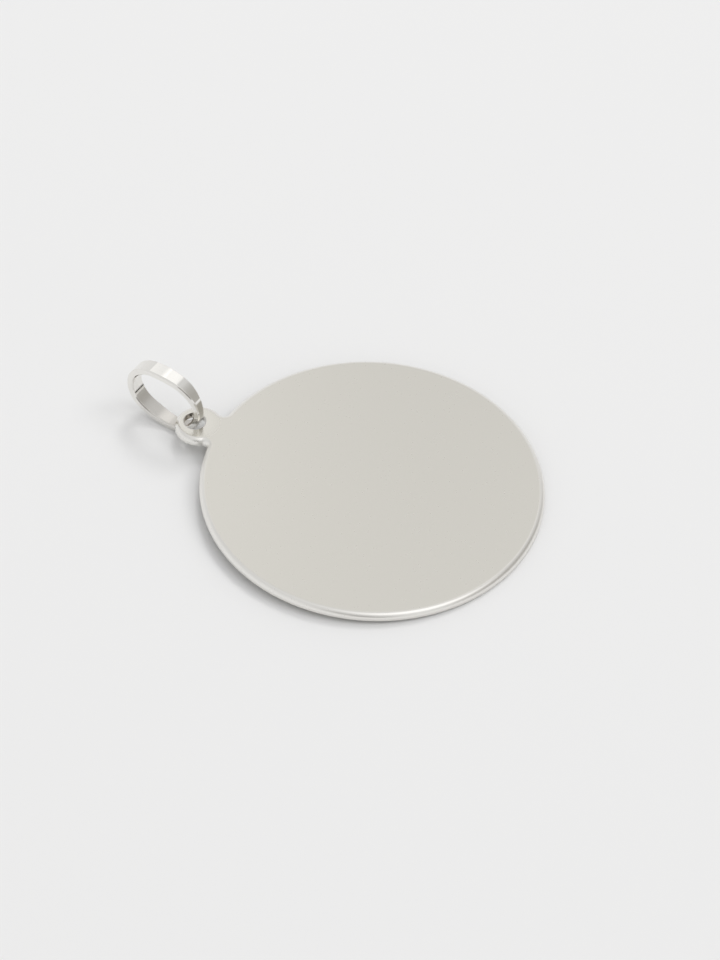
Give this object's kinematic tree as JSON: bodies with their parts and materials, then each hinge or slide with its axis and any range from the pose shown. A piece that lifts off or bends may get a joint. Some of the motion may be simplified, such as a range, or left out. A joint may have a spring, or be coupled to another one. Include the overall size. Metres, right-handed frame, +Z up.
{
  "type": "disc pendant",
  "caption": "Plain round metal pendant with a drilled tab and a closed flat-band bail through the hole, lying face up with its tab resting on the bail.",
  "frame": {"origin": "on the surface that the pendant lies on, at the middle of the footprint's box", "axes": "+Z up from the surface, +Y from the disc along its tab to the bail, +X to the right of the tab seen from above the disc"},
  "size_m": [0.03, 0.0388, 0.0063],
  "materials": {
    "disc": "satin silver with a softly polished rim and tab",
    "bail": "mirror-polished silver"
  },
  "bodies": {
    "root": {"disc": "disc", "bail": "bail"}
  },
  "joints": []
}
